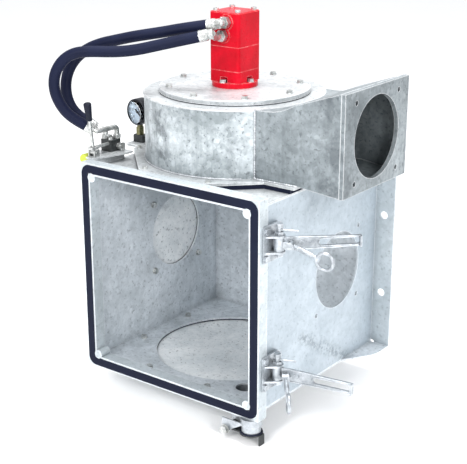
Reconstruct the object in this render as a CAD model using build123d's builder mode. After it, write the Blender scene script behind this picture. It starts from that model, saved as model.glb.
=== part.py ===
"""Hydraulic suction fan on an open filter chamber, in millimetres.

+X is the outlet side, -Y is the open front, +Z is up.  The origin lies on the rear bolting
plane, in the middle of the four wall bolts and level with the middle of the front frame.
"""

from build123d import *
from math import atan2, cos, degrees, radians, sin, tan
import os

os.makedirs("parts", exist_ok=True)

# ---------------------------------------------------------------- driving dimensions
frame_size = 500        # square front frame, outside
depth = 488             # front face of the frame to the rear bolting plane
frame_depth = 30        # channel depth of the front frame
rim_t = 3               # outer rim of the channel
seal_w = 20             # width of the door seal
lip_t = 4               # inner flat bar of the channel
post_r = 11             # round posts in the inner corners of the frame

wall_x = 242            # outside of the side walls
wall_t = 4              # wall, floor and top sheet
chamber_top = 234       # upper face of the top sheet
chamber_bottom = -236   # lower face of the floor sheet
flange_w = 50           # rear bolting flanges beyond the side walls
wall_bolt_x = 265       # rear bolting holes
wall_bolt_z = 98
wall_bolt_r = 9

duct_bore = 180         # round openings for pipe
duct_bolt = 172         # square bolt spacing around them
duct_bolt_r = 5.5
inlet_y = -168          # centre of the side openings
inlet_z = 5

floor_hole_r = 184      # blanked opening in the floor
floor_hole_x = -8
floor_hole_y = -238
floor_bolt_r = 226      # its bolt circle

fan_x = -8              # fan axis
fan_y = -228
fan_hole_r = 100        # opening between chamber and fan
pad_t = 10              # rubber under the fan base
base_t = 6              # fan base plate
base_half = 228         # half of the octagon across its flats
drum_r = 206            # fan casing, outside
drum_h = 152
sheet_t = 3             # casing sheet
cover_r = 172           # motor cover disc
cover_bolt_r = 150
cover_t = 10

duct_x = 362            # outer face of the outlet flange
outlet_t = 10
outlet_w = 258          # flange along Y
outlet_h = 221          # flange along Z
outlet_y = -222         # flange centre
outlet_z = 349
duct_half_at_drum = 136

wheel_r = 130           # impeller
blade_count = 8
shaft_r = 10

motor_half = 41         # square motor body
motor_foot_r = 52
motor_h = 168
gear_module = 2
gear_teeth = 12
gear_gap = 24.2         # distance between the two gear axes

hose_r = 12.7           # hose outside radius
latch_levels = (151, -142)   # height of the two latches
latch_angles = (45, 80)      # how far each lever is swung out from the wall
latch_pivot_x = 268
latch_pivot_y = -443

gauge_x = -264          # vacuum gauge, outside the left wall
gauge_y = -280
gauge_z = 324
gauge_r = 32

front = -depth
half = frame_size / 2
frame_back = front + frame_depth
lip_half = half - rim_t - seal_w - lip_t
base_top = chamber_top + pad_t + base_t
drum_top = base_top + drum_h
motor_base = drum_top + 2 + cover_t


# ---------------------------------------------------------------- planes and small helpers
def facing_right(x):
    """Sketch plane whose normal is +X, with local axes along Y and Z."""
    return Plane(origin=(x, 0, 0), x_dir=(0, 1, 0), z_dir=(1, 0, 0))


def facing_left(x):
    """Sketch plane whose normal is -X, with local axes along -Y and Z."""
    return Plane(origin=(x, 0, 0), x_dir=(0, -1, 0), z_dir=(-1, 0, 0))


def facing_front(y):
    """Sketch plane whose normal is -Y, with local axes along X and Z."""
    return Plane(origin=(0, y, 0), x_dir=(1, 0, 0), z_dir=(0, -1, 0))


def facing_back(y):
    """Sketch plane whose normal is +Y, with local axes along -X and Z."""
    return Plane(origin=(0, y, 0), x_dir=(-1, 0, 0), z_dir=(0, 1, 0))


def level(z):
    """Horizontal sketch plane."""
    return Plane.XY.offset(z)


def ring_spots(radius, count, start, x=0, y=0):
    """Points on a circle, the first at the start angle in degrees."""
    turns = [radians(start + 360 / count * i) for i in range(count)]
    return [(x + radius * cos(a), y + radius * sin(a)) for a in turns]


def square_spots(spacing, x=0, y=0):
    """Corners of a square."""
    s = spacing / 2
    return [(x - s, y - s), (x + s, y - s), (x + s, y + s), (x - s, y + s)]


def bolts(plane, spots, shank_r, grip, head_af, tail=0):
    """Hex bolts with washers, seated on the plane; the nut sits at the far end of the grip."""
    washer_t = 1.6
    head_h = 1.3 * shank_r
    with BuildPart() as group:
        with BuildSketch(plane) as shank:
            with Locations(*spots):
                Circle(shank_r)
        extrude(amount=-grip - tail)
        with BuildSketch(plane) as washer:
            with Locations(*spots):
                Circle(head_af * 0.62)
        extrude(amount=washer_t)
        with BuildSketch(plane.offset(washer_t)) as head:
            with Locations(*spots):
                RegularPolygon(head_af / 2, 6, major_radius=False)
        extrude(amount=head_h)
        if tail:
            with BuildSketch(plane.offset(-grip)) as nut:
                with Locations(*spots):
                    RegularPolygon(head_af / 2, 6, major_radius=False)
            extrude(amount=-1.5 * shank_r)
    return group


def octagon_points(reach, x, y):
    """Corners of a regular octagon, given half its width across the flats."""
    corner = reach / cos(radians(22.5))
    return ring_spots(corner, 8, 22.5, x, y)


# ---------------------------------------------------------------- welded chamber
wall_front = frame_back
wall_rear = -wall_t
wall_mid_y = (wall_front + wall_rear) / 2
wall_len = wall_rear - wall_front
wall_low = chamber_bottom + wall_t
wall_high = chamber_top - wall_t
wall_mid_z = (wall_low + wall_high) / 2

with BuildPart() as right_wall:
    with BuildSketch(facing_right(wall_x - wall_t)) as sheet:
        with Locations((wall_mid_y, wall_mid_z)):
            Rectangle(wall_len, wall_high - wall_low)
        with Locations((inlet_y, inlet_z)):
            Circle(duct_bore / 2, mode=Mode.SUBTRACT)
        with Locations(*square_spots(duct_bolt, inlet_y, inlet_z)):
            Circle(duct_bolt_r, mode=Mode.SUBTRACT)
    extrude(amount=wall_t)
right_wall.part.label = "right_wall"
export_step(right_wall.part, "parts/right_wall.step")

with BuildPart() as left_wall:
    with BuildSketch(facing_right(-wall_x)) as sheet:
        with Locations((wall_mid_y, wall_mid_z)):
            Rectangle(wall_len, wall_high - wall_low)
        with Locations((inlet_y, inlet_z)):
            Circle(duct_bore / 2, mode=Mode.SUBTRACT)
        with Locations(*square_spots(duct_bolt, inlet_y, inlet_z)):
            Circle(4.3, mode=Mode.SUBTRACT)
    extrude(amount=wall_t)
left_wall.part.label = "left_wall"
export_step(left_wall.part, "parts/left_wall.step")

with BuildPart() as back_wall:
    with BuildSketch(facing_front(0)) as sheet:
        with Locations((0, (chamber_top + chamber_bottom) / 2)):
            Rectangle(2 * wall_x, chamber_top - chamber_bottom)
    extrude(amount=wall_t)
back_wall.part.label = "back_wall"
export_step(back_wall.part, "parts/back_wall.step")

base_bolt_spots = [p for p in ring_spots(base_half + 4, 8, 22.5, fan_x, fan_y) if p[0] < duct_half_at_drum]
with BuildPart() as top_sheet:
    with BuildSketch(level(wall_high)) as sheet:
        with Locations((0, wall_mid_y)):
            Rectangle(2 * wall_x, wall_len)
        with Locations((fan_x, fan_y)):
            Circle(fan_hole_r, mode=Mode.SUBTRACT)
        with Locations(*base_bolt_spots):
            Circle(3.3, mode=Mode.SUBTRACT)
    extrude(amount=wall_t)
top_sheet.part.label = "top_sheet"
export_step(top_sheet.part, "parts/top_sheet.step")

floor_bolt_spots = ring_spots(floor_bolt_r, 8, 22.5, floor_hole_x, floor_hole_y)
drain_hole = (146, front + 92)
drain_end = (222, front + 14)
drain_r = 24
ear_start = -142
ear_tip = wall_x + flange_w
with BuildPart() as floor_sheet:
    with BuildSketch(level(chamber_bottom)) as sheet:
        with Locations((0, wall_mid_y)):
            Rectangle(2 * wall_x, wall_len)
        for side in (-1, 1):
            with BuildLine():
                edge = Polyline(
                    (side * wall_x, wall_rear),
                    (side * wall_x, ear_start),
                    (side * (ear_tip - 12), -84),
                )
                bend = Bezier(edge @ 1, (side * ear_tip, -66), (side * ear_tip, -40))
                Polyline(bend @ 1, (side * ear_tip, wall_rear), (side * wall_x, wall_rear))
            make_face()
        with Locations((floor_hole_x, floor_hole_y)):
            Circle(floor_hole_r, mode=Mode.SUBTRACT)
        with Locations(*floor_bolt_spots):
            Circle(4.3, mode=Mode.SUBTRACT)
        with Locations(drain_hole):
            Circle(drain_r - 3, mode=Mode.SUBTRACT)
    extrude(amount=wall_t)
floor_sheet.part.label = "floor_sheet"
export_step(floor_sheet.part, "parts/floor_sheet.step")

with BuildPart() as rear_flanges:
    with BuildSketch(facing_front(0)) as sheet:
        for side in (-1, 1):
            with Locations((side * (wall_x + flange_w / 2), (chamber_top + chamber_bottom) / 2)):
                Rectangle(flange_w, chamber_top - chamber_bottom)
            with Locations((side * (wall_x + 2), chamber_bottom)):
                Circle(9, mode=Mode.SUBTRACT)
            with Locations((side * wall_bolt_x, -wall_bolt_z), (side * wall_bolt_x, wall_bolt_z)):
                Circle(wall_bolt_r, mode=Mode.SUBTRACT)
    extrude(amount=wall_t)
rear_flanges.part.label = "rear_flanges"
export_step(rear_flanges.part, "parts/rear_flanges.step")

# ---------------------------------------------------------------- front frame and seal
post_at = half - rim_t - seal_w - lip_t - post_r / 2 + 0.5
post_spots = square_spots(2 * post_at)
channel_w = frame_size - 2 * rim_t
channel_in = channel_w - 2 * seal_w
channel_d = frame_depth - 4
with BuildPart() as front_frame:
    with BuildSketch(facing_front(frame_back)) as section:
        Rectangle(frame_size, frame_size)
        Rectangle(2 * lip_half, 2 * lip_half, mode=Mode.SUBTRACT)
    extrude(amount=frame_depth)
    with BuildSketch(facing_front(front)) as channel:
        RectangleRounded(channel_w, channel_w, 22)
        Rectangle(channel_in, channel_in, mode=Mode.SUBTRACT)
    extrude(amount=-channel_d, mode=Mode.SUBTRACT)
    with BuildSketch(facing_front(front)) as corners:
        with Locations(*post_spots):
            Circle(post_r)
    extrude(amount=-frame_depth, mode=Mode.SUBTRACT)
front_frame.part.label = "front_frame"
export_step(front_frame.part, "parts/front_frame.step")

with BuildPart() as door_seal:
    with BuildSketch(facing_front(front + channel_d)) as section:
        RectangleRounded(channel_w - 0.4, channel_w - 0.4, 21.8)
        Rectangle(channel_in + 0.4, channel_in + 0.4, mode=Mode.SUBTRACT)
        with Locations(*post_spots):
            Circle(post_r + 0.3, mode=Mode.SUBTRACT)
    extrude(amount=channel_d + 2)
    fillet(door_seal.faces().sort_by(Axis.Y)[0].edges(), 1.8)
door_seal.part.label = "door_seal"
export_step(door_seal.part, "parts/door_seal.step")

with BuildPart() as corner_posts:
    with BuildSketch(facing_front(frame_back)) as section:
        with Locations(*post_spots):
            Circle(post_r)
    extrude(amount=frame_depth + 1)
    fillet(corner_posts.faces().filter_by(Axis.Y).group_by(Axis.Y)[0].edges(), 1.5)
corner_posts.part.label = "corner_posts"
export_step(corner_posts.part, "parts/corner_posts.step")

# ---------------------------------------------------------------- blanked openings
blank_size = duct_bolt + 44
blank_gasket_t = 2
blank_t = 5
floor_gasket_t = 3
floor_octagon = octagon_points(floor_hole_y - frame_back - 0.5, floor_hole_x, floor_hole_y)
with BuildPart() as blank_gaskets:
    with BuildSketch(facing_left(-wall_x)) as section:
        with Locations((-inlet_y, inlet_z)):
            RectangleRounded(blank_size, blank_size, 12)
            Circle(duct_bore / 2, mode=Mode.SUBTRACT)
        with Locations(*square_spots(duct_bolt, -inlet_y, inlet_z)):
            Circle(4.3, mode=Mode.SUBTRACT)
    extrude(amount=blank_gasket_t)
    with BuildSketch(level(chamber_bottom - floor_gasket_t)) as section:
        Polygon(*floor_octagon, align=None)
        with Locations((floor_hole_x, floor_hole_y)):
            Circle(floor_hole_r, mode=Mode.SUBTRACT)
        with Locations(*floor_bolt_spots):
            Circle(4.3, mode=Mode.SUBTRACT)
        with Locations(drain_hole):
            Circle(drain_r + 1, mode=Mode.SUBTRACT)
    extrude(amount=floor_gasket_t)
blank_gaskets.part.label = "blank_gaskets"
export_step(blank_gaskets.part, "parts/blank_gaskets.step")

with BuildPart() as blank_plates:
    with BuildSketch(facing_left(-wall_x - blank_gasket_t)) as section:
        with Locations((-inlet_y, inlet_z)):
            RectangleRounded(blank_size, blank_size, 12)
        with Locations(*square_spots(duct_bolt, -inlet_y, inlet_z)):
            Circle(4.3, mode=Mode.SUBTRACT)
    extrude(amount=blank_t)
    with BuildSketch(level(chamber_bottom - floor_gasket_t - blank_t)) as section:
        Polygon(*floor_octagon, align=None)
        with Locations(*floor_bolt_spots):
            Circle(4.3, mode=Mode.SUBTRACT)
        with Locations(drain_hole):
            Circle(drain_r + 1, mode=Mode.SUBTRACT)
    extrude(amount=blank_t)
blank_plates.part.label = "blank_plates"
export_step(blank_plates.part, "parts/blank_plates.step")

wall_side = bolts(
    facing_right(-wall_x + wall_t), square_spots(duct_bolt, inlet_y, inlet_z), 4,
    wall_t + blank_gasket_t + blank_t, 13, tail=8)
floor_side = bolts(
    level(chamber_bottom + wall_t), floor_bolt_spots, 4,
    wall_t + floor_gasket_t + blank_t, 13, tail=8)
with BuildPart() as blank_bolts:
    add(wall_side.part)
    add(floor_side.part)
blank_bolts.part.label = "blank_bolts"
export_step(blank_bolts.part, "parts/blank_bolts.step")

# ---------------------------------------------------------------- fan base
octagon = octagon_points(base_half, fan_x, fan_y)
shelf_y = -368          # front edge of the base plate under the outlet duct
shelf_x = wall_x + 10
shelf_w = -92 - shelf_y
with BuildPart() as fan_base:
    with BuildSketch(level(chamber_top + pad_t)) as section:
        Polygon(*octagon, align=None)
        with Locations((shelf_x / 2 + 50, shelf_y + shelf_w / 2)):
            Rectangle(shelf_x - 100, shelf_w)
        with Locations((gauge_x + 30, gauge_y + 8)):
            RectangleRounded(96, 54, 8)
        with Locations((fan_x, fan_y)):
            Circle(fan_hole_r - 8, mode=Mode.SUBTRACT)
        with Locations(*base_bolt_spots):
            Circle(3.3, mode=Mode.SUBTRACT)
    extrude(amount=base_t)
fan_base.part.label = "fan_base"
export_step(fan_base.part, "parts/fan_base.step")

eye_r = fan_hole_r - 8
eye_t = 3
eye_top = base_top + 46
with BuildPart() as inlet_ring:
    with BuildSketch(Plane.XZ.offset(-fan_y)) as section:
        with BuildLine():
            Polyline(
                (fan_x + eye_r, base_top - base_t), (fan_x + eye_r, eye_top),
                (fan_x + eye_r - eye_t, eye_top), (fan_x + eye_r - eye_t, base_top - base_t),
                close=True)
        make_face()
    revolve(axis=Axis((fan_x, fan_y, 0), (0, 0, 1)))
inlet_ring.part.label = "inlet_ring"
export_step(inlet_ring.part, "parts/inlet_ring.step")

# ---------------------------------------------------------------- fan casing and outlet duct
duct_back_x = duct_x - outlet_t
duct_low = outlet_z - outlet_h / 2
duct_high = outlet_z + outlet_h / 2
rise_start = 176        # where the roof of the duct starts to climb


def duct_plan(inset):
    """Outline of the duct from above, drawn from inside the drum to the flange."""
    near = duct_half_at_drum - inset
    far = outlet_w / 2 - inset
    return [
        (fan_x + 40, fan_y - near), (fan_x + 162, fan_y - near), (duct_back_x, outlet_y - far),
        (duct_back_x, outlet_y + far), (fan_x + 162, fan_y + near), (fan_x + 40, fan_y + near)]


def duct_side(inset):
    """Outline of the duct from the front: flat over the drum, then a climbing roof."""
    roof = drum_top - inset
    end = duct_high - inset
    low = base_top + inset
    low_end = duct_low + inset
    with BuildLine() as outline:
        flat = Line((fan_x + 40, roof), (rise_start, roof))
        climb = Bezier(flat @ 1, (rise_start + 34, roof), (rise_start + 66, roof + 20))
        drop = Line(climb @ 1, (duct_back_x, end))
        Polyline(
            drop @ 1, (duct_back_x, low_end), (shelf_x, low), (fan_x + 40, low), flat @ 0)
    return outline.line


with BuildPart() as outlet_duct:
    with BuildSketch(level(duct_low - 5)) as plan:
        Polygon(*duct_plan(0), align=None)
    extrude(amount=outlet_h + 10)
    with BuildSketch(facing_front(0)) as side:
        add(duct_side(0))
        make_face()
    extrude(amount=depth, mode=Mode.INTERSECT)
    with BuildPart(mode=Mode.PRIVATE) as inner:
        with BuildSketch(level(duct_low - 5)) as plan:
            Polygon(*duct_plan(sheet_t), align=None)
        extrude(amount=outlet_h + 10)
        with BuildSketch(facing_front(0)) as side:
            add(duct_side(sheet_t))
            make_face()
        extrude(amount=depth, mode=Mode.INTERSECT)
    add(inner.part, mode=Mode.SUBTRACT)
    with Locations((fan_x, fan_y, base_top)):
        Cylinder(drum_r, drum_h + 1, align=(Align.CENTER, Align.CENTER, Align.MIN),
                 mode=Mode.SUBTRACT)
outlet_duct.part.label = "outlet_duct"
export_step(outlet_duct.part, "parts/outlet_duct.step")

shell_in = drum_r - sheet_t
with BuildPart() as scroll_shell:
    with BuildSketch(level(base_top)) as section:
        with Locations((fan_x, fan_y)):
            Circle(drum_r)
            Circle(shell_in, mode=Mode.SUBTRACT)
        Polygon(*duct_plan(sheet_t), align=None, mode=Mode.SUBTRACT)
    extrude(amount=drum_h - sheet_t)
scroll_shell.part.label = "scroll_shell"
export_step(scroll_shell.part, "parts/scroll_shell.step")

cover_bolt_spots = ring_spots(cover_bolt_r, 8, 0, fan_x, fan_y)
cover_hole_r = 138
with BuildPart() as scroll_top:
    with BuildSketch(level(drum_top - sheet_t)) as section:
        with Locations((fan_x, fan_y)):
            Circle(drum_r)
            Circle(cover_hole_r, mode=Mode.SUBTRACT)
        with Locations(*cover_bolt_spots):
            Circle(4.3, mode=Mode.SUBTRACT)
    extrude(amount=sheet_t)
scroll_top.part.label = "scroll_top"
export_step(scroll_top.part, "parts/scroll_top.step")

flange_hole_spots = square_spots(duct_bolt, outlet_y, outlet_z)
with BuildPart() as outlet_flange:
    with BuildSketch(facing_right(duct_back_x)) as section:
        with Locations((outlet_y, outlet_z)):
            Rectangle(outlet_w, outlet_h)
            Circle(duct_bore / 2, mode=Mode.SUBTRACT)
        with Locations(*flange_hole_spots):
            Circle(duct_bolt_r, mode=Mode.SUBTRACT)
    extrude(amount=outlet_t)
outlet_flange.part.label = "outlet_flange"
export_step(outlet_flange.part, "parts/outlet_flange.step")

pilot_r = 26
with BuildPart() as casing_gaskets:
    with BuildSketch(level(chamber_top)) as section:
        Polygon(*octagon_points(base_half - 2, fan_x, fan_y), align=None)
        with Locations((wall_x / 2 + 50, shelf_y + 2 + shelf_w / 2)):
            Rectangle(wall_x - 100, shelf_w)
        with Locations((fan_x, fan_y)):
            Circle(fan_hole_r, mode=Mode.SUBTRACT)
        with Locations(*base_bolt_spots):
            Circle(3.3, mode=Mode.SUBTRACT)
    extrude(amount=pad_t)
    with BuildSketch(level(drum_top)) as section:
        with Locations((fan_x, fan_y)):
            Circle(cover_r - 2)
            Circle(cover_hole_r, mode=Mode.SUBTRACT)
        with Locations(*cover_bolt_spots):
            Circle(4.3, mode=Mode.SUBTRACT)
    extrude(amount=2)
casing_gaskets.part.label = "casing_gaskets"
export_step(casing_gaskets.part, "parts/casing_gaskets.step")

motor_bolt_reach = 44
motor_bolt_spots = ring_spots(motor_bolt_reach, 4, 0, fan_x, fan_y)
with BuildPart() as cover_disc:
    with BuildSketch(level(drum_top + 2)) as section:
        with Locations((fan_x, fan_y)):
            Circle(cover_r)
            Circle(pilot_r, mode=Mode.SUBTRACT)
        with Locations(*cover_bolt_spots, *motor_bolt_spots):
            Circle(4.3, mode=Mode.SUBTRACT)
    extrude(amount=cover_t)
    chamfer(cover_disc.faces().sort_by(Axis.Z)[-1].edges().sort_by(Edge.length)[-1], 1)
cover_disc.part.label = "cover_disc"
export_step(cover_disc.part, "parts/cover_disc.step")

base_side = bolts(level(base_top), base_bolt_spots, 3, base_t + pad_t + wall_t, 10, tail=6)
cover_side = bolts(level(motor_base), cover_bolt_spots, 4, cover_t + 2 + sheet_t, 13, tail=8)
with BuildPart() as casing_bolts:
    add(base_side.part)
    add(cover_side.part)
casing_bolts.part.label = "casing_bolts"
export_step(casing_bolts.part, "parts/casing_bolts.step")

# ---------------------------------------------------------------- impeller and shaft
wheel_low = eye_top - 8
wheel_high = motor_base - 34
wheel_t = 4
hub_r = 22
hub_flange_r = 38
hub_low = wheel_high - wheel_t - 34
with BuildPart() as impeller:
    with BuildSketch(level(wheel_high - wheel_t)) as disc:
        with Locations((fan_x, fan_y)):
            Circle(wheel_r)
            Circle(hub_r, mode=Mode.SUBTRACT)
        with Locations(*ring_spots(30, 4, 45, fan_x, fan_y)):
            Circle(3.1, mode=Mode.SUBTRACT)
    extrude(amount=wheel_t)
    with BuildSketch(level(wheel_low)) as shroud:
        with Locations((fan_x, fan_y)):
            Circle(wheel_r)
            Circle(eye_r + 4, mode=Mode.SUBTRACT)
    extrude(amount=3)
    with BuildSketch(level(wheel_low)) as blades:
        for x, y in ring_spots(100, blade_count, 0, fan_x, fan_y):
            turn = degrees(atan2(y - fan_y, x - fan_x))
            with Locations(Location((x, y, 0), (0, 0, turn + 38))):
                Rectangle(62, 3)
        with Locations((fan_x, fan_y)):
            Circle(wheel_r, mode=Mode.INTERSECT)
    extrude(amount=wheel_high - wheel_low - wheel_t)
    with BuildSketch(level(wheel_low - 1)) as eye:
        with Locations((fan_x, fan_y)):
            Circle(eye_r + 4)
    extrude(amount=12, mode=Mode.SUBTRACT)
impeller.part.label = "impeller"
export_step(impeller.part, "parts/impeller.step")

with BuildPart() as impeller_hub:
    with BuildSketch(level(hub_low)) as barrel:
        with Locations((fan_x, fan_y)):
            Circle(hub_r)
            Circle(shaft_r, mode=Mode.SUBTRACT)
    extrude(amount=wheel_high + 14 - hub_low)
    with BuildSketch(level(wheel_high)) as plate:
        with Locations((fan_x, fan_y)):
            Circle(hub_flange_r)
            Circle(shaft_r, mode=Mode.SUBTRACT)
        with Locations(*ring_spots(30, 4, 45, fan_x, fan_y)):
            Circle(3.1, mode=Mode.SUBTRACT)
    extrude(amount=6)
impeller_hub.part.label = "impeller_hub"
export_step(impeller_hub.part, "parts/impeller_hub.step")

body_low = motor_base + 38      # joint between mounting section and gear section
body_high = motor_base + 92     # joint between gear section and rear cover
motor_top = motor_base + motor_h
journal_top = body_high + 24
pitch_r = gear_module * gear_teeth / 2
tip_r = pitch_r + gear_module
gear_low = body_low + 0.3
gear_h = body_high - body_low - 0.6


def tooth_points(x, y, first):
    """Outline of a small spur gear: straight flanks, one tooth at the first angle."""
    root_r = pitch_r - 1.25 * gear_module
    points = []
    for i in range(gear_teeth):
        middle = radians(first + 360 / gear_teeth * i)
        for radius, share in ((root_r, -0.33), (pitch_r, -0.225), (tip_r, -0.1),
                              (tip_r, 0.1), (pitch_r, 0.225), (root_r, 0.33)):
            a = middle + share * radians(360 / gear_teeth)
            points.append((x + radius * cos(a), y + radius * sin(a)))
    return points


with BuildPart() as motor_shaft:
    with BuildSketch(level(hub_low - 4)) as lower:
        with Locations((fan_x, fan_y)):
            Circle(shaft_r)
    extrude(amount=motor_base + 12 - hub_low + 4)
    with BuildSketch(level(motor_base + 12)) as upper:
        with Locations((fan_x, fan_y)):
            Circle(8)
    extrude(amount=journal_top - 2 - motor_base - 12)
    with BuildSketch(level(gear_low)) as teeth:
        Polygon(*tooth_points(fan_x, fan_y, 90), align=None)
    extrude(amount=gear_h)
motor_shaft.part.label = "motor_shaft"
export_step(motor_shaft.part, "parts/motor_shaft.step")

hub_screws = bolts(level(wheel_high + 6), ring_spots(30, 4, 45, fan_x, fan_y), 3, 6 + wheel_t, 10, tail=5)
with BuildPart() as hub_fasteners:
    add(hub_screws.part)
    with BuildSketch(level(hub_low - 3)) as washer:
        with Locations((fan_x, fan_y)):
            Circle(19)
            Circle(shaft_r, mode=Mode.SUBTRACT)
    extrude(amount=3)
    with BuildSketch(level(hub_low - 3)) as nut:
        with Locations((fan_x, fan_y)):
            RegularPolygon(15, 6, major_radius=False)
            Circle(shaft_r, mode=Mode.SUBTRACT)
    extrude(amount=-10)
hub_fasteners.part.label = "hub_fasteners"
export_step(hub_fasteners.part, "parts/hub_fasteners.step")

idler_y = fan_y + gear_gap
with BuildPart() as idler_gear:
    with BuildSketch(level(body_low - 18)) as journal:
        with Locations((fan_x, idler_y)):
            Circle(7)
    extrude(amount=body_high - body_low + 36)
    with BuildSketch(level(gear_low)) as teeth:
        Polygon(*tooth_points(fan_x, idler_y, 90 + 180 / gear_teeth), align=None)
    extrude(amount=gear_h)
idler_gear.part.label = "idler_gear"
export_step(idler_gear.part, "parts/idler_gear.step")

# ---------------------------------------------------------------- hydraulic motor housing
bush_r = 11.9
bush_gap = 0.05
with BuildPart() as motor_mount:
    with BuildSketch(level(motor_base)) as foot:
        with Locations((fan_x, fan_y)):
            Circle(motor_foot_r)
    extrude(amount=12)
    with BuildSketch(level(motor_base - 4)) as pilot:
        with Locations((fan_x, fan_y)):
            Circle(pilot_r - 0.1)
    extrude(amount=4)
    with BuildSketch(level(motor_base + 12)) as body:
        with Locations((fan_x, fan_y)):
            RectangleRounded(2 * motor_half, 2 * motor_half, 7)
    extrude(amount=body_low - motor_base - 12)
    with BuildSketch(level(motor_base + 12)) as bolt_notches:
        with Locations(*motor_bolt_spots):
            Circle(10)
    extrude(amount=12, mode=Mode.SUBTRACT)
    with BuildSketch(level(motor_base)) as bolt_holes:
        with Locations(*motor_bolt_spots):
            Circle(4.3)
    extrude(amount=12, mode=Mode.SUBTRACT)
    with BuildSketch(level(motor_base - 4)) as seal_pocket:
        with Locations((fan_x, fan_y)):
            Circle(18)
    extrude(amount=12, mode=Mode.SUBTRACT)
    with BuildSketch(level(motor_base)) as bore:
        with Locations((fan_x, fan_y)):
            Circle(shaft_r + 0.4)
    extrude(amount=body_low - motor_base, mode=Mode.SUBTRACT)
    with BuildSketch(level(body_low)) as bush_pockets:
        with Locations((fan_x, fan_y), (fan_x, idler_y)):
            Circle(bush_r)
    extrude(amount=-20, mode=Mode.SUBTRACT)
motor_mount.part.label = "motor_mount"
export_step(motor_mount.part, "parts/motor_mount.step")

with BuildPart() as shaft_seal:
    with BuildSketch(level(motor_base - 3)) as ring:
        with Locations((fan_x, fan_y)):
            Circle(17.9)
            Circle(shaft_r + bush_gap, mode=Mode.SUBTRACT)
    extrude(amount=10)
shaft_seal.part.label = "shaft_seal"
export_step(shaft_seal.part, "parts/shaft_seal.step")

with BuildPart() as motor_gear_case:
    with BuildSketch(level(body_low)) as body:
        with Locations((fan_x, fan_y)):
            RectangleRounded(2 * motor_half, 2 * motor_half, 7)
        with Locations((fan_x, fan_y), (fan_x, idler_y)):
            Circle(tip_r + 0.2, mode=Mode.SUBTRACT)
    extrude(amount=body_high - body_low)
motor_gear_case.part.label = "motor_gear_case"
export_step(motor_gear_case.part, "parts/motor_gear_case.step")

port_face_y = fan_y - motor_half
port_spots = [(fan_x + 8, motor_top - 21), (fan_x, motor_top - 51)]
with BuildPart() as motor_rear_cover:
    with BuildSketch(level(body_high)) as body:
        with Locations((fan_x, fan_y)):
            RectangleRounded(2 * motor_half, 2 * motor_half, 7)
    extrude(amount=motor_top - body_high)
    chamfer(motor_rear_cover.faces().sort_by(Axis.Z)[-1].edges(), 2)
    with BuildSketch(facing_front(port_face_y)) as bosses:
        with Locations(*port_spots):
            Circle(17)
    extrude(amount=2)
    with BuildSketch(facing_front(port_face_y - 2)) as ports:
        with Locations(*port_spots):
            Circle(9)
    extrude(amount=-16, mode=Mode.SUBTRACT)
    with BuildSketch(level(body_high)) as bush_pockets:
        with Locations((fan_x, fan_y), (fan_x, idler_y)):
            Circle(bush_r)
    extrude(amount=24, mode=Mode.SUBTRACT)
motor_rear_cover.part.label = "motor_rear_cover"
export_step(motor_rear_cover.part, "parts/motor_rear_cover.step")

with BuildPart() as motor_bushes:
    for low, tall in ((body_low - 20, 20), (body_high, 24)):
        with BuildSketch(level(low)) as rings:
            with Locations((fan_x, fan_y), (fan_x, idler_y)):
                Circle(bush_r)
            with Locations((fan_x, fan_y)):
                Circle(8 + bush_gap, mode=Mode.SUBTRACT)
            with Locations((fan_x, idler_y)):
                Circle(7 + bush_gap, mode=Mode.SUBTRACT)
        extrude(amount=tall)
motor_bushes.part.label = "motor_bushes"
export_step(motor_bushes.part, "parts/motor_bushes.step")

foot_side = bolts(level(motor_base + 12), motor_bolt_spots, 4, 12 + cover_t, 13)
with BuildPart() as motor_bolts:
    add(foot_side.part)
    with BuildSketch(level(motor_top)) as heads:
        with Locations(*square_spots(2 * motor_half - 22, fan_x, fan_y)):
            Circle(6.5)
    extrude(amount=6)
    with BuildSketch(level(motor_top + 6)) as sockets:
        with Locations(*square_spots(2 * motor_half - 22, fan_x, fan_y)):
            RegularPolygon(3, 6, major_radius=False)
    extrude(amount=-4, mode=Mode.SUBTRACT)
motor_bolts.part.label = "motor_bolts"
export_step(motor_bolts.part, "parts/motor_bolts.step")

# ---------------------------------------------------------------- vacuum gauge
gauge_turn = -5         # the dial looks a little to the left
gauge_face = Plane(
    origin=(gauge_x, gauge_y, gauge_z),
    x_dir=(cos(radians(gauge_turn)), sin(radians(gauge_turn)), 0),
    z_dir=(sin(radians(gauge_turn)), -cos(radians(gauge_turn)), 0))
gauge_foot_h = 18
adapter_h = 24
gauge_stem_y = gauge_y + 14

with BuildPart() as gauge_foot:
    with BuildSketch(level(base_top)) as block:
        with Locations((gauge_x, gauge_stem_y)):
            RectangleRounded(30, 22, 4)
    extrude(amount=gauge_foot_h)
    chamfer(gauge_foot.faces().sort_by(Axis.Z)[-1].edges(), 2)
gauge_foot.part.label = "gauge_foot"
export_step(gauge_foot.part, "parts/gauge_foot.step")

with BuildPart() as gauge_adapter:
    with BuildSketch(level(base_top + gauge_foot_h)) as hexagon:
        with Locations((gauge_x, gauge_stem_y)):
            RegularPolygon(8.5, 6, major_radius=False)
    extrude(amount=adapter_h - 6)
    with BuildSketch(level(base_top + gauge_foot_h + adapter_h - 6)) as neck:
        with Locations((gauge_x, gauge_stem_y)):
            Circle(7)
    extrude(amount=6)
gauge_adapter.part.label = "gauge_adapter"
export_step(gauge_adapter.part, "parts/gauge_adapter.step")

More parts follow.
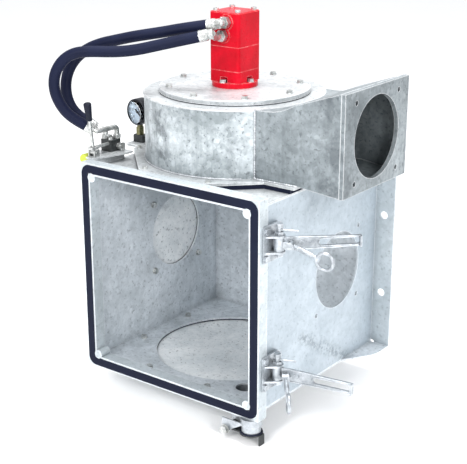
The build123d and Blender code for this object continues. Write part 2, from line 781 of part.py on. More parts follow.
stem_low = base_top + gauge_foot_h + adapter_h
with BuildPart() as gauge_case:
    with BuildSketch(gauge_face.offset(-27)) as body:
        Circle(gauge_r)
    extrude(amount=27)
    fillet(gauge_case.edges().filter_by(GeomType.CIRCLE), 2)
    with BuildSketch(gauge_face) as pocket:
        Circle(gauge_r - 3)
    extrude(amount=-7, mode=Mode.SUBTRACT)
    with BuildSketch(level(stem_low)) as stem:
        with Locations((gauge_x, gauge_stem_y)):
            Circle(6)
    extrude(amount=gauge_z - gauge_r + 4 - stem_low)
gauge_case.part.label = "gauge_case"
export_step(gauge_case.part, "parts/gauge_case.step")

needle_shaft_r = 1.5
with BuildPart() as gauge_dial:
    with BuildSketch(gauge_face.offset(-7)) as disc:
        Circle(gauge_r - 3)
        Circle(needle_shaft_r + 0.05, mode=Mode.SUBTRACT)
    extrude(amount=1)
gauge_dial.part.label = "gauge_dial"
export_step(gauge_dial.part, "parts/gauge_dial.step")

needle_angle = -45
with BuildPart() as gauge_needle:
    with BuildSketch(gauge_face.offset(-4.6)) as pointer:
        with Locations(Rot(0, 0, needle_angle)):
            Polygon((-8, -1.6), (0, -1.4), (23, -0.4), (23, 0.4), (0, 1.4), (-8, 1.6), align=None)
        Circle(3.2)
    extrude(amount=0.8)
    with BuildSketch(gauge_face.offset(-6.9)) as spindle:
        Circle(needle_shaft_r)
    extrude(amount=2.5)
gauge_needle.part.label = "gauge_needle"
export_step(gauge_needle.part, "parts/gauge_needle.step")

# ---------------------------------------------------------------- valve block and its lever
plate_top = half + 4
block_x = -256
block_y = -379
block_w = 32
block_len = 34
block_h = 28
block_front = block_y - block_len / 2
with BuildPart() as valve_bracket:
    with BuildSketch(level(half)) as shelf:
        Polygon(
            (-258.5, front + 27), (-238, front + 26), (-210, -372), (-210, -354), (-274, -354),
            (-274, -398), (-258.5, -412), align=None)
    extrude(amount=4)
    with BuildSketch(level(chamber_top)) as web:
        with Locations((-236, -405)):
            Rectangle(5, 94)
    extrude(amount=half - chamber_top)
valve_bracket.part.label = "valve_bracket"
export_step(valve_bracket.part, "parts/valve_bracket.step")

spool_z = plate_top + 20
spool_r = 4
lever_x = -248
lever_y = -446
lever_z = plate_top + 10
lever_lean = 7
port_inner = (-265, -386)
port_outer = (-247, -367)
block_screw_spots = [(-267, -368), (-246, -390)]
block_top = plate_top + block_h
with BuildPart() as valve_block:
    with BuildSketch(level(plate_top)) as body:
        with Locations((block_x, block_y)):
            RectangleRounded(block_w, block_len, 2)
    extrude(amount=block_h)
    chamfer(valve_block.faces().sort_by(Axis.Z)[-1].edges(), 1)
    with BuildSketch(facing_front(block_front)) as bore:
        with Locations((lever_x, spool_z)):
            Circle(spool_r + 0.05)
    extrude(amount=-block_len + 4, mode=Mode.SUBTRACT)
    with BuildSketch(level(block_top)) as screw_holes:
        with Locations(*block_screw_spots):
            Circle(2.7)
    extrude(amount=-3, mode=Mode.SUBTRACT)
valve_block.part.label = "valve_block"
export_step(valve_block.part, "parts/valve_block.step")

block_screws = bolts(level(block_top), block_screw_spots, 2.5, 2.8, 8)
with BuildPart() as block_fasteners:
    add(block_screws.part)
    with BuildSketch(facing_right(block_x + block_w / 2)) as boss:
        with Locations((block_y + 9, plate_top + 11)):
            RegularPolygon(7, 6, major_radius=False)
    extrude(amount=7)
    with BuildSketch(facing_right(block_x + block_w / 2 + 7)) as stem:
        with Locations((block_y + 9, plate_top + 11)):
            Circle(3.5)
    extrude(amount=7)
    with BuildSketch(facing_right(block_x + block_w / 2 + 13)) as bar:
        with Locations((block_y + 9, plate_top + 11)):
            RectangleRounded(5, 20, 2.4)
    extrude(amount=5)
block_fasteners.part.label = "block_fasteners"
export_step(block_fasteners.part, "parts/block_fasteners.step")

with BuildPart() as lever_bracket:
    with BuildSketch(level(plate_top)) as section:
        with Locations((lever_x, lever_y + 8.5)):
            Rectangle(20, 3)
        for side in (-1, 1):
            with Locations((lever_x + side * 8.5, lever_y)):
                Rectangle(3, 14)
    extrude(amount=16)
    with BuildSketch(level(plate_top)) as spool_gap:
        with Locations((lever_x, lever_y + 8.5)):
            Rectangle(14, 4)
    extrude(amount=16, mode=Mode.SUBTRACT)
    with BuildSketch(facing_right(lever_x - 12)) as pin_hole:
        with Locations((lever_y, lever_z)):
            Circle(3.1)
    extrude(amount=24, mode=Mode.SUBTRACT)
    with BuildSketch(level(plate_top)) as foot:
        with Locations((lever_x, lever_y)):
            Rectangle(20, 16)
    extrude(amount=2)
    with BuildSketch(facing_right(lever_x - 12)) as pin:
        with Locations((lever_y, lever_z)):
            Circle(3)
    extrude(amount=24)
    with BuildSketch(facing_right(lever_x - 10.2)) as pin_head:
        with Locations((lever_y, lever_z)):
            Circle(5)
    extrude(amount=-2)
lever_bracket.part.label = "lever_bracket"
export_step(lever_bracket.part, "parts/lever_bracket.step")

lever_axis = Plane(
    origin=(lever_x, lever_y, lever_z), x_dir=(1, 0, 0),
    z_dir=(0, -sin(radians(lever_lean)), cos(radians(lever_lean))))
stem_len = 76
grip_len = 42
with BuildPart() as valve_lever:
    with BuildSketch(facing_right(lever_x - 6.8)) as boss:
        with Locations((lever_y, lever_z)):
            Circle(5.4)
    extrude(amount=13.6)
    with BuildSketch(lever_axis) as stem:
        Circle(4)
    extrude(amount=stem_len + 10)
    with BuildSketch(facing_right(lever_x - 7)) as bore:
        with Locations((lever_y, lever_z)):
            Circle(3.05)
    extrude(amount=14, mode=Mode.SUBTRACT)
valve_lever.part.label = "valve_lever"
export_step(valve_lever.part, "parts/valve_lever.step")

with BuildPart() as lever_grip:
    with BuildSketch(lever_axis.offset(stem_len)) as low_end:
        Circle(6.5)
    with BuildSketch(lever_axis.offset(stem_len + grip_len - 6)) as high_end:
        Circle(9)
    loft()
    with BuildSketch(lever_axis.offset(stem_len + grip_len - 6)) as cap:
        Circle(9)
    extrude(amount=6)
    fillet(lever_grip.edges().sort_by(Axis.Z)[-1], 4)
    with BuildSketch(lever_axis.offset(stem_len)) as socket:
        Circle(4)
    extrude(amount=10, mode=Mode.SUBTRACT)
lever_grip.part.label = "lever_grip"
export_step(lever_grip.part, "parts/lever_grip.step")

eye_y = lever_y - (spool_z - lever_z) * tan(radians(lever_lean))
with BuildPart() as valve_spool:
    with BuildSketch(facing_front(block_front + block_len - 10)) as rod:
        with Locations((lever_x, spool_z)):
            Circle(spool_r)
    extrude(amount=block_front + block_len - 10 - eye_y - 8)
    with BuildSketch(level(spool_z - 3)) as eye:
        with Locations((lever_x, eye_y)):
            Rectangle(16, 21)
            Rectangle(9, 12.5, mode=Mode.SUBTRACT)
    extrude(amount=6)
valve_spool.part.label = "valve_spool"
export_step(valve_spool.part, "parts/valve_spool.step")

# ---------------------------------------------------------------- hoses and their fittings
inner_route = [
    (-27, -303, 556), (-81, -325, 546), (-116, -341, 538), (-151, -356, 531), (-186, -370, 524),
    (-221, -384, 515), (-256, -397, 506), (-289, -409, 492), (-318, -419, 469), (-337, -427, 438),
    (-344, -431, 402), (-338, -430, 366), (-320, -423, 337), (-294, -410, 319)]
outer_route = [
    (-27, -331, 535), (-80, -360, 521), (-110, -376, 513), (-142, -395, 504), (-175, -413, 498),
    (-209, -431, 496), (-243, -448, 496), (-276, -466, 492), (-302, -480, 473), (-318, -489, 443),
    (-321, -490, 407), (-313, -481, 372), (-297, -464, 341), (-273, -442, 322)]


def route_radii(points):
    """Largest tangent arc that each corner of a route can take."""
    radii = []
    for a, b, c in zip(points, points[1:], points[2:]):
        before = Vector(*b) - Vector(*a)
        after = Vector(*c) - Vector(*b)
        turn = radians(before.get_angle(after))
        radii.append(0.45 * min(before.length, after.length) / tan(turn / 2))
    return radii


def unit(a, b):
    """Direction from a to b."""
    return (Vector(*b) - Vector(*a)).normalized()


for name, route in (("hose_inner", inner_route), ("hose_outer", outer_route)):
    radii = route_radii(route)
    with BuildPart() as hose:
        with BuildLine() as path:
            FilletPolyline(*route, radius=radii)
        with BuildSketch(Plane(origin=route[0], z_dir=unit(route[0], route[1]))) as section:
            Circle(hose_r)
        sweep()
    length = path.wires()[0].length
    print(name, "length", round(length), "radii", [round(r) for r in radii])
    print(name, "volume ratio", round(hose.part.volume / (3.14159265 * hose_r ** 2 * length), 4))
    hose.part.label = name
    export_step(hose.part, f"parts/{name}.step")

ferrule_r = 13.5
ferrule_len = 20
with BuildPart() as motor_elbows:
    for (port_x, port_z), reach, route in zip(port_spots, (22, 30), (inner_route, outer_route)):
        hose_dir = unit(route[0], route[1])
        ferrule_start = Vector(*route[0]) - hose_dir * ferrule_len
        elbow_at = Vector(port_x, port_face_y - reach, port_z)
        arm = ferrule_start - hose_dir * 8 - elbow_at
        with BuildSketch(facing_front(port_face_y - 2)) as nut:
            with Locations((port_x, port_z)):
                RegularPolygon(12, 6, major_radius=False)
        extrude(amount=11)
        with BuildSketch(facing_front(port_face_y - 13)) as stub:
            with Locations((port_x, port_z)):
                Circle(8)
        extrude(amount=reach - 13)
        with Locations(elbow_at):
            Sphere(8)
        with BuildSketch(Plane(origin=elbow_at, z_dir=arm)) as tube:
            Circle(8)
        extrude(amount=arm.length)
        with BuildSketch(Plane(origin=ferrule_start - hose_dir * 11, z_dir=hose_dir)) as swivel:
            RegularPolygon(10.5, 6, major_radius=False)
        extrude(amount=11)
motor_elbows.part.label = "motor_elbows"
export_step(motor_elbows.part, "parts/motor_elbows.step")

with BuildPart() as hose_ferrules:
    for route in (inner_route, outer_route):
        start_dir = unit(route[0], route[1])
        end_dir = unit(route[-2], route[-1])
        with BuildSketch(Plane(origin=route[0], z_dir=-start_dir)) as ring:
            Circle(ferrule_r)
        extrude(amount=ferrule_len)
        with BuildSketch(Plane(origin=route[-1], z_dir=end_dir)) as ring:
            Circle(ferrule_r)
        extrude(amount=ferrule_len)
hose_ferrules.part.label = "hose_ferrules"
export_step(hose_ferrules.part, "parts/hose_ferrules.step")

tube_r = 6
with BuildPart() as valve_tubes:
    for route, port in ((inner_route, port_inner), (outer_route, port_outer)):
        end_dir = unit(route[-2], route[-1])
        start = Vector(*route[-1]) + end_dir * ferrule_len
        lead = start + end_dir * 8
        corner = Vector(port[0], port[1], start.Z - 3)
        with BuildLine() as path:
            FilletPolyline(start, lead, corner, (port[0], port[1], block_top + 7), radius=[6, 8])
        with BuildSketch(Plane(origin=start, z_dir=end_dir)) as section:
            Circle(tube_r)
        sweep(path=path.wires()[0])
        with BuildSketch(level(block_top)) as nut:
            with Locations(port):
                RegularPolygon(8, 6, major_radius=False)
        extrude(amount=9)
valve_tubes.part.label = "valve_tubes"
export_step(valve_tubes.part, "parts/valve_tubes.step")

# ---------------------------------------------------------------- capped test point on the frame
cap_x = -272
cap_z = half - 5
nipple_end = -448
with BuildPart() as test_nipple:
    with BuildSketch(facing_left(-wall_x)) as block:
        with Locations((427, 236)):
            Rectangle(18, 27)
    extrude(amount=40)
    with BuildSketch(facing_front(-436)) as stub:
        with Locations((cap_x, cap_z)):
            Circle(7)
    extrude(amount=-436 - nipple_end)
test_nipple.part.label = "test_nipple"
export_step(test_nipple.part, "parts/test_nipple.step")

with BuildPart() as test_cap:
    with BuildSketch(facing_front(-438)) as body:
        with Locations((cap_x, cap_z)):
            Circle(12)
    extrude(amount=18)
    fillet(test_cap.edges().sort_by(Axis.Y)[0], 3)
    with BuildSketch(facing_front(-438)) as bore:
        with Locations((cap_x, cap_z)):
            Circle(7.05)
    extrude(amount=12, mode=Mode.SUBTRACT)
test_cap.part.label = "test_cap"
export_step(test_cap.part, "parts/test_cap.step")

# ---------------------------------------------------------------- door latches
ear_gap = 31            # between the two ears of a latch
ear_t = 4
plate_x = half + 4
pin_r = 5
lever_len = 174
hook_cranks = (32, 60)  # the hooks leave the levers sideways by these angles
hook_droop = 20
hook_reach = 78         # hook pin to the middle of the ring
ring_r = 18

with BuildPart() as latch_bases:
    for z in latch_levels:
        with BuildSketch(facing_right(half)) as plate:
            with Locations((-446, z)):
                RectangleRounded(64, 80, 6)
        extrude(amount=4)
        with BuildSketch(facing_right(wall_x)) as spacer:
            with Locations((-436, z)):
                Rectangle(42, 76)
        extrude(amount=half - wall_x)
        for low in (z - ear_gap / 2 - ear_t, z + ear_gap / 2):
            with BuildSketch(level(low)) as ear:
                Polygon(
                    (plate_x, latch_pivot_y - 28), (latch_pivot_x + 6, latch_pivot_y - 12),
                    (latch_pivot_x + 6, latch_pivot_y + 12), (plate_x, latch_pivot_y + 28), align=None)
                with Locations((latch_pivot_x, latch_pivot_y)):
                    Circle(13.5)
                with Locations((latch_pivot_x, latch_pivot_y)):
                    Circle(pin_r + 0.1, mode=Mode.SUBTRACT)
            extrude(amount=ear_t)
        for y in (-470, -422):
            with BuildSketch(facing_right(plate_x)) as screws:
                with Locations((y, z - 30), (y, z + 30)):
                    RegularPolygon(6.5, 6, major_radius=False)
            extrude(amount=5.5)
        with BuildSketch(level(z - ear_gap / 2 - ear_t - 9)) as pin:
            with Locations((latch_pivot_x, latch_pivot_y)):
                Circle(pin_r)
        extrude(amount=ear_gap + 2 * ear_t + 9 + 22)
        with BuildSketch(level(z - ear_gap / 2 - ear_t - 0.2)) as lower_nut:
            with Locations((latch_pivot_x, latch_pivot_y)):
                RegularPolygon(8.5, 6, major_radius=False)
        extrude(amount=-7)
        with BuildSketch(level(z + ear_gap / 2 + ear_t + 0.2)) as upper_nut:
            with Locations((latch_pivot_x, latch_pivot_y)):
                RegularPolygon(8.5, 6, major_radius=False)
        extrude(amount=7)
        with BuildSketch(level(z + ear_gap / 2 + ear_t + 16)) as head:
            with Locations((latch_pivot_x, latch_pivot_y)):
                Circle(7.5)
        extrude(amount=9)
        tommy = Plane(
            origin=(latch_pivot_x, latch_pivot_y, z + ear_gap / 2 + ear_t + 11), z_dir=(0.92, 0.39, 0))
        with BuildSketch(tommy) as tommy_bar:
            Circle(2.5)
        extrude(amount=40)
latch_bases.part.label = "latch_bases"
export_step(latch_bases.part, "parts/latch_bases.step")

for which, z, angle, crank in zip(("upper", "lower"), latch_levels, latch_angles, hook_cranks):
    along = Vector(sin(radians(angle)), cos(radians(angle)), 0)
    outward = Vector(cos(radians(angle)), -sin(radians(angle)), 0)
    pivot = Vector(latch_pivot_x, latch_pivot_y, z)
    lever_face = Plane(origin=pivot, x_dir=along, z_dir=outward)
    hook_dir = along * cos(radians(crank)) + outward * sin(radians(crank))
    hook_axis = Vector(hook_dir.Y, -hook_dir.X, 0)
    fork_back = 10 / sin(radians(crank))
    hook_pin = pivot + along * 24 + outward * 11
    with BuildPart() as latch_lever:
        with BuildSketch(lever_face.offset(-2.5)) as bar:
            Polygon(
                (4, -13), (30, -15), (lever_len, -12), (lever_len, 12), (30, 15), (4, 13), align=None)
            with Locations((128, 0)):
                SlotOverall(88, 14, mode=Mode.SUBTRACT)
        extrude(amount=5)
        with BuildSketch(lever_face.offset(-2.5)) as lip:
            with Locations((lever_len - 2, 0)):
                Rectangle(4, 24)
        extrude(amount=13)
        with BuildSketch(lever_face.offset(2.5)) as rivet:
            with Locations((46, 0)):
                Circle(6)
        extrude(amount=2.5)
        with BuildSketch(level(z - ear_gap / 2 + 0.4)) as barrel:
            with Locations((latch_pivot_x, latch_pivot_y)):
                Circle(11)
        extrude(amount=ear_gap - 0.8)
        fork = Plane(origin=hook_pin, x_dir=hook_dir, z_dir=hook_axis)
        with BuildSketch(fork.offset(-7.5)) as cheeks:
            with Locations((-fork_back / 2, 0)):
                Rectangle(fork_back, 12)
            Circle(6)
        extrude(amount=15)
        with BuildSketch(fork.offset(-4.5)) as gap:
            Rectangle(16, 14)
        extrude(amount=9, mode=Mode.SUBTRACT)
        with BuildSketch(fork.offset(-7.5)) as pin:
            Circle(3)
        extrude(amount=15)
        with BuildSketch(level(z - ear_gap / 2)) as bore:
            with Locations((latch_pivot_x, latch_pivot_y)):
                Circle(pin_r + 0.05)
        extrude(amount=ear_gap, mode=Mode.SUBTRACT)
    latch_lever.part.label = f"latch_lever_{which}"
    export_step(latch_lever.part, f"parts/latch_lever_{which}.step")
    rod_dir = hook_dir * cos(radians(hook_droop)) + Vector(0, 0, -sin(radians(hook_droop)))
    with BuildPart() as latch_hook:
        with BuildSketch(fork.offset(-4.2)) as barrel:
            Circle(6.5)
        extrude(amount=8.4)
        with BuildSketch(Plane(origin=hook_pin, z_dir=rod_dir)) as rod:
            Circle(3.9)
        extrude(amount=hook_reach - ring_r)
        with BuildSketch(Plane(origin=hook_pin + rod_dir * 16, z_dir=rod_dir)) as sleeve:
            Circle(5.5)
        extrude(amount=32)
        ring_at = hook_pin + rod_dir * hook_reach
        with BuildSketch(Plane(origin=ring_at + rod_dir * ring_r, z_dir=rod_dir.cross(hook_axis))) as wire:
            Circle(4)
        revolve(axis=Axis(ring_at, hook_axis))
        with BuildSketch(fork.offset(-5)) as bore:
            Circle(3.05)
        extrude(amount=10, mode=Mode.SUBTRACT)
    latch_hook.part.label = f"latch_hook_{which}"
    export_step(latch_hook.part, f"parts/latch_hook_{which}.step")
    print("hook", which, "pin", hook_pin, "axis", hook_axis, "ring", ring_at)

# ---------------------------------------------------------------- drain under the front right corner
trough_top = -half
trough_low = -half - 17
socket_low = -half - 32
flap_pivot_x = 166
flap_pivot_z = socket_low - 6
lug_reach = 17
drain_run = Vector(*drain_end) - Vector(*drain_hole)
drain_heading = degrees(atan2(drain_run.Y, drain_run.X))
drain_mid = ((drain_hole[0] + drain_end[0]) / 2, (drain_hole[1] + drain_end[1]) / 2)
with BuildPart() as drain_channel:
    with BuildSketch(level(trough_low)) as trough:
        with Locations(drain_mid):
            SlotCenterToCenter(drain_run.length, 2 * drain_r, rotation=drain_heading)
    extrude(amount=trough_top - trough_low)
    with BuildSketch(level(trough_top)) as riser:
        with Locations(drain_hole):
            Circle(drain_r)
    extrude(amount=chamber_bottom - trough_top)
    with BuildSketch(level(socket_low)) as socket:
        with Locations(drain_end):
            Circle(drain_r - 2)
    extrude(amount=trough_low - socket_low)
    with BuildSketch(level(trough_low + 3)) as hollow:
        with Locations(drain_mid):
            SlotCenterToCenter(drain_run.length, 2 * drain_r - 6, rotation=drain_heading)
    extrude(amount=trough_top - trough_low - 6, mode=Mode.SUBTRACT)
    with BuildSketch(level(trough_top - 4)) as riser_bore:
        with Locations(drain_hole):
            Circle(drain_r - 3)
    extrude(amount=chamber_bottom - trough_top + 4, mode=Mode.SUBTRACT)
    with BuildSketch(level(socket_low)) as socket_bore:
        with Locations(drain_end):
            Circle(drain_r - 5)
    extrude(amount=trough_low - socket_low + 4, mode=Mode.SUBTRACT)
    for y in (drain_end[1] - lug_reach - 4, drain_end[1] + lug_reach):
        with BuildSketch(facing_front(y + 4)) as lug:
            with BuildLine():
                Polyline(
                    (flap_pivot_x - 9, flap_pivot_z), (flap_pivot_x - 9, trough_low + 5),
                    (flap_pivot_x + 52, trough_low + 5), (flap_pivot_x + 9, flap_pivot_z), close=True)
            make_face()
            with Locations((flap_pivot_x, flap_pivot_z)):
                Circle(9)
                Circle(5.1, mode=Mode.SUBTRACT)
        extrude(amount=4)
drain_channel.part.label = "drain_channel"
export_step(drain_channel.part, "parts/drain_channel.step")

flap_t = 3
flap_seal_t = 3
flap_low = socket_low - 0.2 - flap_seal_t - flap_t
with BuildPart() as drain_flap:
    with BuildSketch(level(flap_low)) as plate:
        with Locations(((flap_pivot_x + drain_end[0]) / 2, drain_end[1])):
            Rectangle(drain_end[0] - flap_pivot_x, 32)
        with Locations(drain_end):
            Circle(drain_r + 2)
        with Locations((drain_end[0] + 20, drain_end[1])):
            Rectangle(18, 18)
    extrude(amount=flap_t)
    with BuildSketch(facing_right(drain_end[0] + 26)) as tab:
        with Locations((drain_end[1], flap_low - 9)):
            Rectangle(18, 24)
    extrude(amount=3)
    with BuildSketch(facing_front(drain_end[1] + lug_reach - 0.4)) as barrel:
        with Locations((flap_pivot_x, flap_pivot_z)):
            Circle(8)
    extrude(amount=2 * lug_reach - 0.8)
    with BuildSketch(facing_front(drain_end[1] + lug_reach)) as bore:
        with Locations((flap_pivot_x, flap_pivot_z)):
            Circle(5.05)
    extrude(amount=2 * lug_reach, mode=Mode.SUBTRACT)
drain_flap.part.label = "drain_flap"
export_step(drain_flap.part, "parts/drain_flap.step")

with BuildPart() as flap_seal:
    with BuildSketch(level(flap_low + flap_t)) as disc:
        with Locations(drain_end):
            Circle(drain_r + 1)
    extrude(amount=flap_seal_t)
flap_seal.part.label = "flap_seal"
export_step(flap_seal.part, "parts/flap_seal.step")

bolt_y = drain_end[1] - lug_reach - 4
with BuildPart() as flap_bolt:
    with BuildSketch(facing_front(drain_end[1] + lug_reach + 14)) as shank:
        with Locations((flap_pivot_x, flap_pivot_z)):
            Circle(5)
    extrude(amount=2 * lug_reach + 4 + 14)
    with BuildSketch(facing_front(bolt_y - 0.1)) as washer:
        with Locations((flap_pivot_x, flap_pivot_z)):
            Circle(11)
    extrude(amount=2)
    with BuildSketch(facing_front(bolt_y - 2.1)) as head:
        with Locations((flap_pivot_x, flap_pivot_z)):
            RegularPolygon(8.5, 6, major_radius=False)
    extrude(amount=6.5)
    with BuildSketch(facing_front(drain_end[1] + lug_reach + 4.1)) as nut:
        with Locations((flap_pivot_x, flap_pivot_z)):
            RegularPolygon(8.5, 6, major_radius=False)
    extrude(amount=-8)
flap_bolt.part.label = "flap_bolt"
export_step(flap_bolt.part, "parts/flap_bolt.step")
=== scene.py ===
"""Looks of the hydraulic suction fan unit: hoses, welds, gauge face, materials and light.

Lengths are in metres, in the CAD frame: +X is the outlet side, -Y the open front and +Z up, and
the origin lies on the rear bolting plane.
"""
from math import cos, pi, radians, sin, sqrt

import bmesh
import bpy
from mathutils import Matrix, Vector


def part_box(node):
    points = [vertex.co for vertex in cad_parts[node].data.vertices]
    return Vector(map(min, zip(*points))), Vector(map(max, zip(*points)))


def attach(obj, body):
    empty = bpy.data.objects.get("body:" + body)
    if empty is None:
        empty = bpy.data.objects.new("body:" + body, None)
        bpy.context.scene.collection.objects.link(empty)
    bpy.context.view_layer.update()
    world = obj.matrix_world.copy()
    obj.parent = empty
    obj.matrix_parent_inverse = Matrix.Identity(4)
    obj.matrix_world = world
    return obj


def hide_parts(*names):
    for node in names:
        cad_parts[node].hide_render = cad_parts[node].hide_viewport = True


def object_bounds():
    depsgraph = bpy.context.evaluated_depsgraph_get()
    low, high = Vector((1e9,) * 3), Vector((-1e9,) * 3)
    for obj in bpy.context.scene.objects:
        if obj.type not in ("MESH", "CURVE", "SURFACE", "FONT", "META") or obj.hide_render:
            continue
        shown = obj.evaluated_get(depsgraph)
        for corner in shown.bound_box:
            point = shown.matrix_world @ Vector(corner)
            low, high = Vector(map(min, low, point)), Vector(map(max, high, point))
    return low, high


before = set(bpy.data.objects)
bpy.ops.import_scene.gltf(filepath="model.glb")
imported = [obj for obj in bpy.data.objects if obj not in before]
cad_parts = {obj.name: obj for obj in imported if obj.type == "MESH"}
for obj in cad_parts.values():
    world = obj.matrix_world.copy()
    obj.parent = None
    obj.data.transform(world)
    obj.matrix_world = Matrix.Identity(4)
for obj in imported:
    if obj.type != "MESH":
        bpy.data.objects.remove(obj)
cad_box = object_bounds()
scene = bpy.context.scene
MM = 0.001

# ---------------------------------------------------------------- camera
camera = bpy.data.objects.new("camera", bpy.data.cameras.new("camera"))
scene.collection.objects.link(camera)
camera.data.sensor_width = 36
camera.data.lens = 90.77
camera.data.clip_end = 200
camera.location = (1.57427, -2.33236, 0.96026)
camera_aim = Vector((-0.01236, -0.22762, 0.06015))
camera.rotation_euler = (camera_aim - camera.location).to_track_quat("-Z", "Y").to_euler()
scene.camera = camera

# ---------------------------------------------------------------- mesh helpers
bead_step = 0.0015
bead_sides = 8
ripple_pitch = 0.006
turned_sides = 48


def add_object(name, data, body, look):
    """Links a new piece, gives it a material and lets it ride on a CAD body."""
    piece = bpy.data.objects.new(name, data)
    scene.collection.objects.link(piece)
    data.materials.append(look)
    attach(piece, body)
    return piece


def mesh_piece(name, bm, body, look, smooth=True):
    """Turns a bmesh into a piece with outward normals."""
    bmesh.ops.recalc_face_normals(bm, faces=bm.faces)
    mesh = bpy.data.meshes.new(name)
    bm.to_mesh(mesh)
    bm.free()
    if smooth:
        mesh.shade_smooth()
    return add_object(name, mesh, body, look)


def side_of(direction):
    """Two unit vectors square to a direction."""
    helper = Vector((0, 0, 1)) if abs(direction.z) < 0.9 else Vector((1, 0, 0))
    first = direction.cross(helper).normalized()
    return first, direction.cross(first).normalized()


def skin(bm, rings, closed=False):
    """Joins rings of equal length with quads, and caps the two ends of an open run."""
    count = len(rings[0])
    pairs = list(zip(rings, rings[1:])) + ([(rings[-1], rings[0])] if closed else [])
    for near, far in pairs:
        for i in range(count):
            j = (i + 1) % count
            bm.faces.new((near[i], near[j], far[j], far[i]))
    if not closed:
        bm.faces.new(rings[0])
        bm.faces.new(rings[-1])


def even_steps(points, closed):
    """Points about one bead step apart along straight runs, each with its distance gone."""
    runs = zip(points, points[1:] + points[:1] if closed else points[1:])
    placed, gone = [], 0
    for a, b in runs:
        length = (b - a).length
        count = max(1, round(length / bead_step))
        placed += [(a.lerp(b, i / count), gone + length * i / count) for i in range(count)]
        gone += length
    if not closed:
        placed.append((points[-1], gone))
    return placed


def sweep(bm, points, radius, ripple=0.0, closed=False):
    """A round bead along a path; ripple thins it once every pitch, as a weld does."""
    placed = even_steps(points, closed)
    spots = [spot for spot, _ in placed]
    last = len(spots) - 1
    rings = []
    for i, (spot, gone) in enumerate(placed):
        if closed:
            heading = (spots[(i + 1) % len(spots)] - spots[i - 1]).normalized()
        else:
            heading = (spots[min(i + 1, last)] - spots[max(i - 1, 0)]).normalized()
        u, v = side_of(heading)
        size = radius * (1 - ripple * (1 - abs(sin(pi * gone / ripple_pitch))))
        turns = [2 * pi * k / bead_sides for k in range(bead_sides)]
        rings.append([bm.verts.new(spot + (u * cos(t) + v * sin(t)) * size) for t in turns])
    skin(bm, rings, closed)


def lathe(bm, start, direction, outline, shape=None):
    """Turns (distance, radius) pairs about a line; shape(angle, distance) scales the radius."""
    u, v = side_of(direction)
    rings = []
    for distance, radius in outline:
        centre = start + direction * distance
        ring = []
        for k in range(turned_sides):
            angle = 2 * pi * k / turned_sides
            size = radius * (shape(angle, distance) if shape else 1)
            ring.append(bm.verts.new(centre + (u * cos(angle) + v * sin(angle)) * size))
        rings.append(ring)
    skin(bm, rings)


# ---------------------------------------------------------------- materials
# Edge colour of the zinc: worn bare zinc and a painted edge highlight.
bare_zinc_and_highlight = (0.93, 0.94, 0.95)
dusty_edge = (0.16, 0.17, 0.21)
# Painted shade for the red paint's corners.
red_corner_shade = (0.12, 0.0, 0.008)


